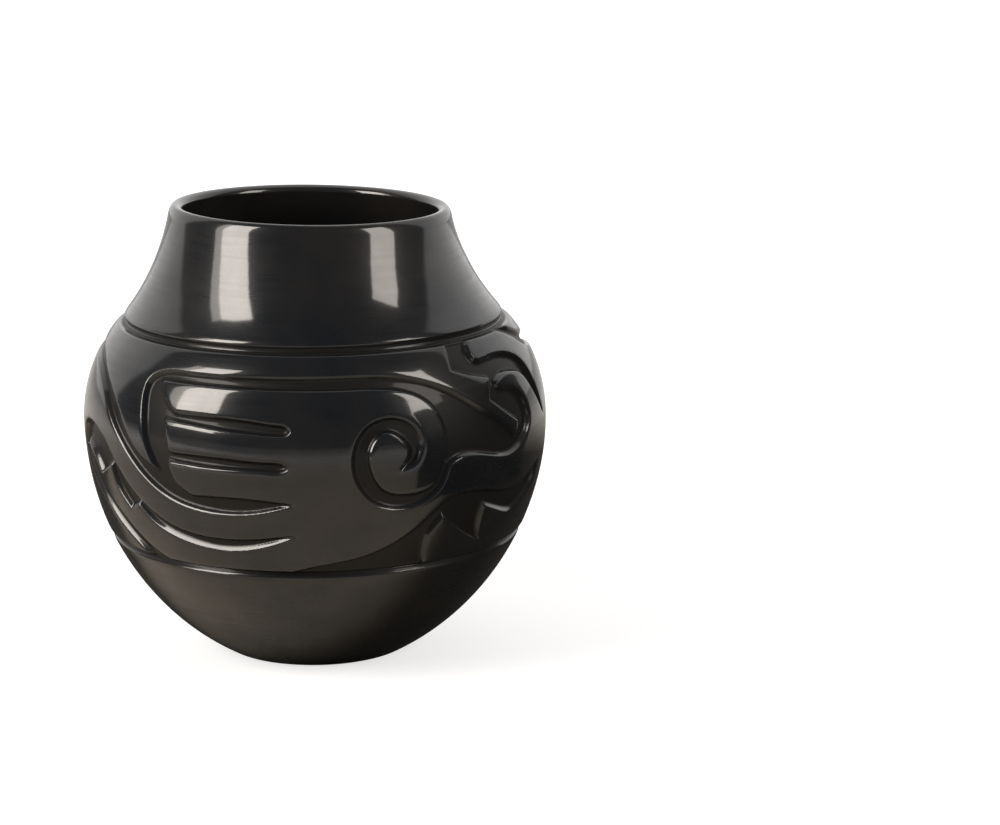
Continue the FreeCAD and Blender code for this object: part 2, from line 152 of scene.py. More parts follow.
# A figure's outline is a closed row of strokes. Their points are azimuths and shares of the figures' height.
# The long hollow: the steps and the curled plume at its right, the line over the head, and the feathers and
# the sweep at its left.
mouthOutline = [
    [(49.2, 1.02), (39.9, 1.02)],
    [(39.9, 1.02), (38.2, 0.91)],
    [(38.2, 0.91), (44.3, 0.874), (50.5, 0.847)],
    [(50.5, 0.847), (48.3, 0.751)],
    [(48.3, 0.751), (55.6, 0.657), (58.7, 0.623)],
    [(58.7, 0.623), (58.1, 0.584), (56.9, 0.55)],
    [(56.9, 0.55), (53.4, 0.608), (45.8, 0.701), (38.3, 0.796), (31.2, 0.863), (19.3, 0.914), (9.8, 0.922)],
    [(9.8, 0.922), (-37.5, 0.917)],
    [(-37.5, 0.917), (-43.5, 0.903), (-46.7, 0.867), (-46.8, 0.75), (-45, 0.601), (-41.3, 0.467)],
    [(-41.3, 0.467), (-49, 0.551), (-56.9, 0.71), (-66.8, 0.828), (-75.6, 0.892), (-89.8, 0.926),
     (-103, 0.985), (-111, 1.035)],
    [(-111, 1.035), (-121, 1.03)],
    [(-121, 1.03), (-110, 0.99), (-100, 0.905), (-83.8, 0.866), (-74.8, 0.841), (-67.9, 0.791), (-60, 0.67),
     (-51.9, 0.526), (-45.9, 0.432), (-37.9, 0.347), (-27.9, 0.305), (-15.1, 0.311), (-6, 0.353)],
    [(-6, 0.353), (-12.2, 0.367), (-22.1, 0.375), (-31, 0.369)],
    [(-31, 0.369), (-36, 0.432), (-37.7, 0.525)],
    [(-37.7, 0.525), (-28, 0.517), (-18, 0.514), (-11.5, 0.511), (-8.2, 0.514), (-7, 0.529), (-8.4, 0.544),
     (-11.5, 0.549), (-20, 0.557), (-37.3, 0.562)],
    [(-37.3, 0.562), (-38.3, 0.64), (-39, 0.708)],
    [(-39, 0.708), (-34.8, 0.707), (-27.7, 0.698), (-20.5, 0.687), (-14.3, 0.679), (-9, 0.675), (-6.9, 0.685),
     (-6.4, 0.698), (-7.2, 0.712), (-9.5, 0.72), (-14.5, 0.73), (-20.7, 0.739), (-28, 0.743), (-36, 0.742)],
    [(-36, 0.742), (-39.9, 0.791), (-42.5, 0.876)],
    [(-42.5, 0.876), (12.8, 0.872)],
    [(12.8, 0.872), (19.4, 0.861), (25.7, 0.827), (29.7, 0.771), (32, 0.681), (32.5, 0.582), (31.4, 0.473)],
    [(31.4, 0.473), (35.4, 0.518), (43.6, 0.514), (55.1, 0.48), (60.4, 0.515), (64.6, 0.603), (64, 0.681),
     (60.2, 0.758), (53.7, 0.784)],
    [(53.7, 0.784), (52.1, 0.812), (54.5, 0.842), (60.5, 0.846), (65.6, 0.822), (69.8, 0.741), (76.6, 0.592)],
    [(76.6, 0.592), (72.8, 0.751), (69.6, 0.855), (63.1, 0.914), (51.1, 0.924), (47.1, 0.939), (46.7, 0.97),
     (49.2, 1.02)],
]

# The groove that winds inside the scroll and runs out into the open mouth.
scrollOutline = [
    [(20.3, 0.504), (23.7, 0.527), (25.5, 0.603), (24.4, 0.68), (18.5, 0.738), (11.9, 0.7),
     (8.5, 0.562), (9.8, 0.437), (14.1, 0.348), (19.8, 0.317), (26.9, 0.342), (30.8, 0.404), (32.9, 0.503)],
    [(32.9, 0.503), (31.3, 0.503)],
    [(31.3, 0.503), (29.8, 0.424), (26.4, 0.386), (21.2, 0.377), (16, 0.406), (12.9, 0.499),
     (13.1, 0.621), (16.7, 0.678), (20.8, 0.641), (22.6, 0.582), (20.3, 0.504)],
]

# The hollow under the sweep, with its stepped side and the slanting groove to its left.
hollowOutline = [
    [(-5.4, 0.201), (-14.9, 0.176), (-24.8, 0.166), (-34.7, 0.184), (-42.6, 0.234), (-49.6, 0.313),
     (-56.8, 0.432), (-63.9, 0.544), (-72, 0.588), (-78, 0.551), (-80.4, 0.451)],
    [(-80.4, 0.451), (-75.8, 0.357), (-67.3, 0.234), (-58.9, 0.117), (-50.4, 0)],
    [(-50.4, 0), (-41.3, 0)],
    [(-41.3, 0), (-49.1, 0.066), (-56.9, 0.166), (-65.4, 0.274), (-76.4, 0.496)],
    [(-76.4, 0.496), (-71.9, 0.466), (-66.2, 0.372)],
    [(-66.2, 0.372), (-59.8, 0.437)],
    [(-59.8, 0.437), (-58.1, 0.353), (-53.1, 0.245)],
    [(-53.1, 0.245), (-49.5, 0.284)],
    [(-49.5, 0.284), (-44.5, 0.209), (-34.6, 0.142), (-24.8, 0.118), (-13.9, 0.145), (-5.4, 0.201)],
]

# The hollow under the jaw, with its row of teeth.
teethOutline = [
    [(-8.9, 0), (-0.1, 0.041), (9.6, 0.074), (17.1, 0.12), (24, 0.193), (29.5, 0.277)],
    [(29.5, 0.277), (33.3, 0.324), (41.1, 0.343), (48.8, 0.318), (56.3, 0.298), (63.6, 0.317), (72.5, 0.365)],
    [(72.5, 0.365), (70.9, 0.279), (65.9, 0.225), (60, 0.185), (52.6, 0.212), (45.7, 0.261)],
    [(45.7, 0.261), (45, 0.176), (46.4, 0.084)],
    [(46.4, 0.084), (39.2, 0.155), (32.3, 0.25)],
    [(32.3, 0.25), (28.2, 0.144), (29.1, 0)],
    [(29.1, 0), (-8.9, 0)],
]

figureOutlines = [mouthOutline, scrollOutline, hollowOutline, teethOutline]
panelTurns = (0, 180)  # the front panel is repeated on the back

strokeDrawing = {  # in millimetres
    "spacing": 0.8,  # between a stroke's points
    "degree": 1.9,  # across a degree of azimuth
    "share": 100,  # up the figures' whole height
}


def strokePoints(stroke):
    # A stroke as many close points: a straight one divided, a longer one as a smooth curve.
    points = np.array(stroke, float)
    points[:, 1] *= strokeDrawing["share"]
    gaps = np.hypot(np.diff(points[:, 0]) * strokeDrawing["degree"], np.diff(points[:, 1]))
    along = np.concatenate([[0], np.cumsum(gaps)])
    count = max(int(along[-1] / strokeDrawing["spacing"]), 2)
    places = np.linspace(0, along[-1], count + 1)
    if len(points) == 2:
        made = np.stack([np.interp(places, along, points[:, k]) for k in (0, 1)], 1)
    else:
        made = np.stack([naturalCurve(along, points[:, k], places) for k in (0, 1)], 1)
    made[:, 1] /= strokeDrawing["share"]
    return made


def naturalCurve(knots, values, places):
    # A natural cubic curve through the values.
    n = len(knots)
    h = np.diff(knots)
    matrix = np.eye(n)
    right = np.zeros(n)
    for i in range(1, n - 1):
        matrix[i, i - 1:i + 2] = h[i - 1], 2 * (h[i - 1] + h[i]), h[i]
        right[i] = 6 * ((values[i + 1] - values[i]) / h[i] - (values[i] - values[i - 1]) / h[i - 1])
    bend = np.linalg.solve(matrix, right)
    k = np.clip(np.searchsorted(knots, places, side="right") - 1, 0, n - 2)
    t, u = places - knots[k], knots[k + 1] - places
    return ((bend[k] * u ** 3 + bend[k + 1] * t ** 3) / (6 * h[k])
            + (values[k] / h[k] - bend[k] * h[k] / 6) * u
            + (values[k + 1] / h[k] - bend[k + 1] * h[k] / 6) * t)


measuring = {
    "bottom": 40 * mm,
    "top": 185 * mm,
    "levels": 2901,
}


def measuredLevels(values):
    # Heights close together, and the length of the outline from the first of them to each.
    levels = np.linspace(values["bottom"], values["top"], values["levels"])
    slopes = np.array([outside.slope(z) for z in levels])
    steps = np.sqrt(1 + (slopes[1:] + slopes[:-1]) ** 2 / 4) * np.diff(levels)
    return levels, np.concatenate([[0], np.cumsum(steps)])


levels, lengths = measuredLevels(measuring)


def lengthAt(z):
    return np.interp(z, levels, lengths)


def carvedSegments():
    # Every outline's short segments: azimuths in radians, and places along the jar's outline.
    made = []
    for outline in figureOutlines:
        starts, ends = [], []
        for stroke in outline:
            points = strokePoints(stroke)
            points[:, 0] = np.radians(points[:, 0])
            points[:, 1] = lengthAt(carving["foot"] + carving["height"] * points[:, 1])
            starts.append(points[:-1])
            ends.append(points[1:])
        made.append((np.concatenate(starts), np.concatenate(ends)))
    return made


def ringDistance(place):
    # How far inside the nearer ring groove a place on the outline lies; negative outside both.
    lower = carving["lowerGrooveWidth"] / 2 - abs(place - lengthAt(carving["foot"]))
    return np.maximum(lower, carving["upperGrooveWidth"] / 2 - abs(place - lengthAt(upperGrooveLevel)))


def figureDistance(z, azimuths, segments):
    # How far inside the carved outlines each azimuth of a level lies; negative on the raised clay.
    place, radius, reach = lengthAt(z), outside.radius(z), carving["reach"]
    across = azimuths * radius
    best = np.full(len(azimuths), -reach)
    for starts, ends in segments:
        low, high = np.minimum(starts[:, 1], ends[:, 1]), np.maximum(starts[:, 1], ends[:, 1])
        crossing = (starts[:, 1] > place) != (ends[:, 1] > place)
        a, b = starts[crossing], ends[crossing]
        crossings = a[:, 0] + (place - a[:, 1]) / (b[:, 1] - a[:, 1]) * (b[:, 0] - a[:, 0])
        near = (high > place - reach) & (low < place + reach)
        p, q = starts[near], ends[near]
        for turn in np.radians(panelTurns):
            for lap in (-2 * math.pi, 0, 2 * math.pi):  # a figure may run over the first seam
                shift = turn + lap
                left, right = (starts[:, 0].min() + shift) * radius, (starts[:, 0].max() + shift) * radius
                if right + reach < across[0] or left - reach > across[-1]:
                    continue
                isCarved = np.searchsorted(np.sort(crossings + shift), azimuths) % 2 == 1
                distance = np.full(len(azimuths), reach)
                if len(p):
                    startX, endX = (p[:, 0] + shift) * radius, (q[:, 0] + shift) * radius
                    startY, endY = p[:, 1] - place, q[:, 1] - place
                    runX, runY = endX - startX, endY - startY
                    toX = across[:, None] - startX
                    share = np.clip((toX * runX - startY * runY) / (runX ** 2 + runY ** 2), 0, 1)
                    apart = np.hypot(toX - share * runX, startY + share * runY)
                    distance = np.minimum(distance, apart.min(1))
                best = np.maximum(best, np.where(isCarved, distance, -distance))
    return best


def carvedDepth(inward):
    # The depth of the carving at a distance inside its outline: a soft shoulder, a steep wall, a hollow foot.
    wall = np.clip((inward + carving["edgeOut"]) / (carving["edgeOut"] + carving["edgeIn"]), 0, 1)
    wall = 1 - (1 - wall) ** 3
    shoulder = np.clip(1 + inward / carving["shoulderReach"], 0, 1) ** 3
    return (carving["depth"] - carving["shoulder"]) * wall + carving["shoulder"] * shoulder


# The jar isn't quite even: how far its middle lies to the right at each height
sway = {
    "heights": np.array((0, 12, 35, 60, 85, 100, 114, 130, 150, 162, 175, 185, 217)) * mm,
    "shifts": np.array((-0.55, -0.35, -0.1, 0.05, 0.25, 0.3, 0.15, 0.05, 0, -0.2, -0.75, -1.1, -1.1)) * mm,
}


def swayAt(z):
    return naturalCurve(sway["heights"], sway["shifts"], z)


# The slight unevenness of a wall built and scraped by hand
unevenness = {
    "depth": 0.3 * mm,
    "waves": (  # how many round the jar, their share, their turn and how it grows with height
        (2, 1, 0.7, 9), (3, 0.6, -1.1, 31), (5, 0.5, 2.3, -47), (8, 0.35, 0, 90)),
    "fade": 30 * mm,  # it fades out towards the axis from this far off
}


def handWave(azimuths, z):
    # How far the wall stands off its even form, always inwards.
    wave = sum(share * np.sin(count * azimuths + turn + climb * z)
               for count, share, turn, climb in unevenness["waves"])
    whole = sum(share for _, share, _, _ in unevenness["waves"])
    return unevenness["depth"] * (wave / whole - 1) / 2


# The carved band, in four quarters that meet face to face

bandShape = {
    "bottom": carving["foot"],
    "top": upperGrooveLevel,
    "rows": 228,
    "innerRows": 12,
    "columns": 400,  # in a quarter
    "firstSeam": -45,  # degrees
    "names": ("carvedBandFront", "carvedBandRight", "carvedBandBack", "carvedBandLeft"),
}


def bandGrid(shape):
    # Distances inside the carving on the whole band, and the points of its outer face.
    places = np.linspace(lengthAt(shape["bottom"]), lengthAt(shape["top"]), shape["rows"])
    rows = np.interp(places, lengths, levels)
    half = 2 * shape["columns"]  # the other half of the band repeats this one
    azimuths = math.radians(shape["firstSeam"]) + np.arange(half) * math.pi / half
    segments = carvedSegments()
    inward = np.stack([
        np.maximum(figureDistance(z, azimuths, segments), ringDistance(lengthAt(z))) for z in rows])
    inward = np.tile(inward, 2)
    depth = softened(carvedDepth(inward), 3)
    allRound = math.radians(shape["firstSeam"]) + np.arange(2 * half) * math.pi / half
    radii = np.array([outside.radius(z) for z in rows])[:, None]
    slopes = np.array([outside.slope(z) for z in rows])[:, None]
    size = np.sqrt(1 + slopes ** 2)
    heights = rows[:, None]
    wave = handWave(allRound[None, :], heights)
    plain = ringPoints(radii + wave, allRound, heights + 0 * inward)
    across, upward = np.roll(plain, -1, 1) - np.roll(plain, 1, 1), np.gradient(plain, axis=0)
    across /= np.linalg.norm(across, axis=2)[:, :, None]
    upward /= np.linalg.norm(upward, axis=2)[:, :, None]
    # The normals lean with the carving's fall, which is worked out from the distances.
    even = softened(inward)
    turnStep = math.pi / half
    acrossFall = (np.roll(even, -1, 1) - np.roll(even, 1, 1)) / (2 * turnStep * radii)
    upwardFall = np.gradient(even, places, axis=0)
    reach = carving["normalReach"]
    fall = (carvedDepth(even + reach) - carvedDepth(even - reach)) / (2 * reach)
    normals = (np.cross(across, upward) + (fall * acrossFall)[:, :, None] * across
               + (fall * upwardFall)[:, :, None] * upward)
    normals /= np.linalg.norm(normals, axis=2)[:, :, None]
    points = ringPoints(radii - depth / size + wave, allRound, heights + depth * slopes / size)
    return rows, inward, points, normals


def softened(grid, times=1):
    # Every value averaged a little with its neighbours, all round and up and down.
    for _ in range(times):
        grid = (np.roll(grid, 1, 1) + 2 * grid + np.roll(grid, -1, 1)) / 4
        grid[1:-1] = (grid[:-2] + 2 * grid[1:-1] + grid[2:]) / 4
    return grid


def ringPoints(radius, azimuths, height):
    # Points at azimuths and heights round the jar's own middle.
    return np.stack([radius * np.sin(azimuths) + swayAt(height), -radius * np.cos(azimuths), height], -1)


bandRows, bandInward, bandPoints, bandNormals = bandGrid(bandShape)
print("carving laid out")


def turnedPiece(name, section, start, turn, steps):
    # A circle primitive whose points are moved to the section's, then turned round the jar's axis.
    clearSelection()
    bpy.ops.mesh.primitive_circle_add(vertices=len(section), radius=0.1)
    piece = bpy.context.object
    piece.name = name
    way = math.radians(start)
    for vertex, (radius, height) in zip(piece.data.vertices, section):
        vertex.co = radius * math.sin(way), -radius * math.cos(way), height
    if section[0][0] == 0:
        openOnAxis(piece)
    bpy.ops.object.modifier_add(type="SCREW")
    screw = piece.modifiers[-1]
    screw.angle = math.radians(turn)
    screw.steps = screw.render_steps = steps
    bpy.ops.object.modifier_apply(modifier=screw.name)
    bpy.ops.object.mode_set(mode="EDIT")
    bpy.ops.mesh.select_all(action="SELECT")
    bpy.ops.mesh.remove_doubles(threshold=mergeDistance)
    bpy.ops.mesh.fill_holes(sides=0)  # a quarter's two cut ends
    bpy.ops.mesh.select_all(action="SELECT")
    bpy.ops.mesh.normals_make_consistent(inside=False)
    bpy.ops.object.mode_set(mode="OBJECT")
    bpy.ops.object.shade_smooth()
    return piece


def openOnAxis(piece):
    # Takes out the edge that runs along the axis between the section's two ends.
    last = len(piece.data.vertices) - 1
    bpy.ops.object.mode_set(mode="EDIT")
    bpy.ops.mesh.select_mode(type="EDGE")
    bpy.ops.mesh.select_all(action="DESELECT")
    bpy.ops.object.mode_set(mode="OBJECT")
    for edge in piece.data.edges:
        edge.select = set(edge.vertices) == {0, last}
    bpy.ops.object.mode_set(mode="EDIT")
    bpy.ops.mesh.delete(type="EDGE")
    bpy.ops.mesh.select_mode(type="VERT")
    bpy.ops.object.mode_set(mode="OBJECT")


def readPoints(piece):
    points = np.empty(len(piece.data.vertices) * 3)
    piece.data.vertices.foreach_get("co", points)
    return points.reshape(-1, 3)


def writePoints(piece, points):
    piece.data.vertices.foreach_set("co", points.ravel())
    piece.data.update()


def nearestRow(points, section, batch=20000):
    # Which point of the section each vertex was spun from, worked out a batch at a time.
    flat = np.stack([np.hypot(points[:, 0], points[:, 1]), points[:, 2]], 1)
    section = np.array(section)
    rows = np.empty(len(flat), int)
    for first in range(0, len(flat), batch):
        part = flat[first:first + batch, None, :] - section[None, :, :]
        rows[first:first + batch] = (part ** 2).sum(2).argmin(1)
    return rows


def addValues(piece, name, values):
    attribute = piece.data.attributes.new(name, "FLOAT", "POINT")
    attribute.data.foreach_set("value", np.asarray(values, dtype=np.float32))


def edgeShare(inward):
    # Distance from the carving's outline as 0 to 1: 0.5 on it, more in the ground.
    return np.clip(0.5 + inward / (2 * carving["reach"]), 0, 1)


def paint(piece, outer, inner, isInner):
    # The outer material all over, and the inner one on faces whose first three corners are inside.
    piece.data.materials.append(outer)
    piece.data.materials.append(inner)
    mesh = piece.data
    firstCorners, corners = np.empty(len(mesh.polygons), int), np.empty(len(mesh.loops), int)
    mesh.polygons.foreach_get("loop_start", firstCorners)
    mesh.loops.foreach_get("vertex_index", corners)
    within = np.all([isInner[corners[firstCorners + step]] for step in range(3)], axis=0)
    mesh.polygons.foreach_set("material_index", within.astype(np.int32))
    mesh.update()


def finishPiece(piece, *nodes):
    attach(piece, "root")
    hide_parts(*nodes)


def makeBandQuarter(number, shape, outer, inner):
    quarterStart = shape["firstSeam"] + 90 * number
    faceOut = [(outside.radius(z), z) for z in bandRows]
    faceIn = [(inside.radius(z), z) for z in np.linspace(shape["top"], shape["bottom"], shape["innerRows"])]
    section = faceOut + faceIn
    piece = turnedPiece(shape["names"][number], section, quarterStart, 90, shape["columns"])
    markSeams()
    points = readPoints(piece)
    rows = nearestRow(points, section)
    turns = np.arctan2(points[:, 0], -points[:, 1]) - math.radians(shape["firstSeam"])
    whole = 4 * shape["columns"]
    columns = np.round(turns / (2 * math.pi) * whole).astype(int) % whole
    isInner = rows >= shape["rows"]
    outerRows = np.minimum(rows, shape["rows"] - 1)
    placed = bandPoints[outerRows, columns]
    radius, height = np.array(section)[rows].T
    azimuths = math.radians(shape["firstSeam"]) + columns * 2 * math.pi / whole
    plain = ringPoints(radius + handWave(azimuths, height), azimuths, height)
    writePoints(piece, np.where(isInner[:, None], plain, placed))
    normals = np.where(isInner[:, None], 0.0, bandNormals[outerRows, columns])
    piece.data.normals_split_custom_set_from_vertices(normals)
    addValues(piece, "edge", np.where(isInner, 0, edgeShare(bandInward[outerRows, columns])))
    paint(piece, outer, inner, isInner)
    finishPiece(piece, "lower_belly_wall", "upper_belly_wall")


def markSeams():
    # The cut faces at a quarter's two ends stay flat.
    bpy.ops.object.mode_set(mode="EDIT")
    bpy.ops.mesh.select_mode(type="FACE")
    bpy.ops.mesh.select_all(action="DESELECT")
    bpy.ops.mesh.select_face_by_sides(number=4, type="GREATER")
    bpy.ops.mesh.faces_shade_flat()
    bpy.ops.mesh.region_to_loop()
    bpy.ops.mesh.mark_sharp()
    bpy.ops.mesh.select_mode(type="VERT")
    bpy.ops.object.mode_set(mode="OBJECT")


# The lower body: the flat foot, the bowl up to the lower groove, and the floor inside

lowerShape = {
    "name": "lowerBody",
    "columns": 400,
    "footRows": 6,
    "roundRows": 10,
    "wallRows": 74,
    "grooveRows": 12,  # in the last few millimetres under the band
    "grooveReach": 4.5 * mm,
    "innerRows": 34,
    "innerRounding": 9.0 * mm,
    "bendRows": 8,
    "floorRows": 6,
}


def grooved(z):
    # A point of the outline, set back by the ring grooves.
    slope, radius = outside.slope(z), outside.radius(z)
    depth = float(carvedDepth(ringDistance(lengthAt(z))))
    size = math.sqrt(1 + slope ** 2)
    return radius - depth / size, z + depth * slope / size


def roundedFoot(form, rows):
    # The arc of the foot's rounding, tangent to the ground and to the bowl.
    x, y, r = outside.bowl
    rounding = form["footRounding"]
    middle = x + math.sqrt((r - rounding) ** 2 - (rounding - y) ** 2), rounding
    away = math.atan2(middle[1] - y, middle[0] - x)
    turns = np.linspace(-math.pi / 2, away, rows)
    return [(middle[0] + rounding * math.cos(t), middle[1] + rounding * math.sin(t)) for t in turns]


def innerBend(shape, floor):
    # The rounding of the wall into the floor inside, and the height where it begins.
    rounding = shape["innerRounding"]
    x, y, r = inside.bowl
    middle = x + math.sqrt((r - rounding) ** 2 - (floor + rounding - y) ** 2), floor + rounding
    away = math.atan2(middle[1] - y, middle[0] - x)
    turns = np.linspace(away, -math.pi / 2, shape["bendRows"])
    bend = [(middle[0] + rounding * math.cos(t), middle[1] + rounding * math.sin(t)) for t in turns]
    return bend, bend[0][1]


def lowerSection(shape, form, top):
    foot = roundedFoot(form, shape["roundRows"])
    ground = [(radius, 0.0) for radius in np.linspace(0, foot[0][0], shape["footRows"] + 1)[:-1]]
    bend, bendTop = innerBend(shape, form["floor"])
    startLevel = top - shape["grooveReach"]
    wallLevels = np.linspace(foot[-1][1], startLevel, shape["wallRows"] + 1)[1:-1]
    wall = [(outside.radius(z), z) for z in wallLevels]
    groove = [grooved(z) for z in np.linspace(startLevel, top, shape["grooveRows"])]
    within = [(inside.radius(z), z) for z in np.linspace(top, bendTop, shape["innerRows"] + 1)[:-1]]
    floor = [(radius, form["floor"]) for radius in np.linspace(bend[-1][0], 0, shape["floorRows"])[1:]]
    outerCount = len(ground) + len(foot) + len(wall) + len(groove)
    return ground + foot + wall + groove + within + bend + floor, outerCount


def dressRing(piece, section, outerCount, columns, outer, inner, tilt=0):
    # Puts the hand's unevenness and the attributes on a whole ring, and its two materials.
    points = readPoints(piece)
    rows = nearestRow(points, section)
    turns = np.arctan2(points[:, 0], -points[:, 1])
    azimuths = np.round(turns / (2 * math.pi) * columns) * 2 * math.pi / columns
    radius, height = np.array(section)[rows].T
    radius = radius + np.clip(radius / unevenness["fade"], 0, 1) * handWave(azimuths, height)
    points = ringPoints(radius, azimuths, height)
    tiltFrom = upperShape["tiltFrom"]
    rise = np.clip((height - tiltFrom) / (jarForm["height"] - tiltFrom), 0, 1)
    points[:, 2] -= tilt * rise ** 2 * (3 - 2 * rise) * (points[:, 0] + jarForm["rimRadius"])
    writePoints(piece, points)
    isInner = rows >= outerCount
    addValues(piece, "edge", np.where(isInner, 0, edgeShare(ringDistance(lengthAt(height)))))
    paint(piece, outer, inner, isInner)


def makeLowerBody(shape, form, outer, inner):
    section, outerCount = lowerSection(shape, form, bandShape["bottom"])
    piece = turnedPiece(shape["name"], section, 0, 360, shape["columns"])
    dressRing(piece, section, outerCount, shape["columns"], outer, inner)
    finishPiece(piece, "base_pat", "bowl_wall")


# The upper body: from the upper groove over the shoulder and the neck to the lip, and back down inside

upperShape = {
    "name": "upperBody",
    "columns": 400,
    "grooveRows": 14,
    "grooveReach": 5.0 * mm,
    "neckRows": 66,
    "lipRows": (16, 11),  # outside and inside
    "lipHold": 0.5523,  # how far the rounding holds to each of its two directions
    "crestIn": 2.3 * mm,  # the lip's crest lies this far inside the rim's widest line
    "outerDrop": 4.6 * mm,
    "innerDrop": 3.6 * mm,
    "nextRow": (0.3 * mm, 0.8 * mm),  # how far under the rounding the next row lies, outside and inside
    "tilt": 0.0184,  # the mouth falls by this share of the way to the right
    "tiltFrom": 186 * mm,
    "innerRows": 46,
    "polishedRows": 26,  # of the inside, under the lip
}


def lipPoints(shape, form):
    # The lip's rounding, which leaves each face of the neck along its slope and is level at the crest.
    crest = np.array([form["rimRadius"] - shape["crestIn"], form["height"]])
    sides = []
    drops = shape["outerDrop"], shape["innerDrop"]
    for face, drop, rows in zip((outside, inside), drops, shape["lipRows"]):
        level = form["height"] - drop
        foot = np.array([face.radius(level), level])
        corner = foot + drop * np.array([face.slope(level), 1])
        near, far = foot + shape["lipHold"] * (corner - foot), crest + shape["lipHold"] * (corner - crest)
        t = np.linspace(0, 1, rows)[:, None]
        u = 1 - t
        sides.append(u ** 3 * foot + 3 * u ** 2 * t * near + 3 * u * t ** 2 * far + t ** 3 * crest)
    return [tuple(point) for point in np.concatenate([sides[0], sides[1][-2::-1]])]


def upperSection(shape, form, bottom):
    lip = lipPoints(shape, form)
    grooveTop = bottom + shape["grooveReach"]
    neckTop, innerTop = lip[0][1] - shape["nextRow"][0], lip[-1][1] - shape["nextRow"][1]
    groove = [grooved(z) for z in np.linspace(bottom, grooveTop, shape["grooveRows"])]
    neck = [(outside.radius(z), z) for z in np.linspace(grooveTop, neckTop, shape["neckRows"] + 1)[1:]]
    within = [(inside.radius(z), z) for z in np.linspace(innerTop, bottom, shape["innerRows"])]
    outerCount = len(groove) + len(neck) + len(lip) + shape["polishedRows"]
    return groove + neck + lip + within, outerCount


def makeUpperBody(shape, form, outer, inner):
    section, outerCount = upperSection(shape, form, bandShape["top"])
    piece = turnedPiece(shape["name"], section, 0, 360, shape["columns"])
    dressRing(piece, section, outerCount, shape["columns"], outer, inner, shape["tilt"])
    finishPiece(piece, "shoulder_wall", "neck_wall", "rim_coil")


# Materials

slip = {
    "dark": (0.0044, 0.0053, 0.0066, 1),
    "warm": (0.0112, 0.0097, 0.0085, 1),
    "ground": (0.0078, 0.0072, 0.0066, 1),
    "speck": (0.09, 0.085, 0.08, 1),
    "speckShare": 0.6,
    "indexOfRefraction": 1.5,
    "underSheen": 0.12,  # the share of shine left to the clay under its polish
    "coatRoughness": 0.075,
    "groundGloss": 0.16,
    # Each range is a pattern's low and high, then what they become.
    "groundEdge": (0.5, 0.62),  # on the attribute of the carving's edge
    "warmPatches": (0.38, 0.66),
    "polishedRoughness": (0.3, 0.7, 0.24, 0.34),
    "patchRoughness": (0.3, 0.7, -0.04, 0.05),  # added to it
    "groundRoughness": (0.3, 0.7, 0.38, 0.5),
    "streakGloss": (0.3, 0.75, 1.0, 0.88),
    "patchGloss": (0.35, 0.62, 0.88, 1),
    "pitSize": (0.018, 0.03, 1, 0),
    # Scales and depths.
    "patchScale": 16,
    "glossPatchScale": 64,
    "grainScale": 900,
    "pitScale": 62,
    "pitDepth": 0.15 * mm,
    "strokeScale": 75,  # the faint unevenness that the polishing stone leaves
    "strokeDepth": 0.035 * mm,
    "streakScale": (26, 26, 430),
    "streakDepth": 0.0016 * mm,
    "toolMarkScale": 420,  # of the scraper in the carved ground
    "toolMarkDepth": 0.012 * mm,
}

insideClay = {
    "dark": (0.050, 0.051, 0.055, 1),
    "pale": (0.088, 0.087, 0.088, 1),
    "patchScale": 22,
    "palePatches": (0.35, 0.7),
    "roughness": (0.3, 0.7, 0.5, 0.68),
    "scrapeScale": (18, 18, 260),
    "scrapeDepth": 0.09 * mm,
    "grainScale": 700,
    "grainDepth": 0.03 * mm,
}


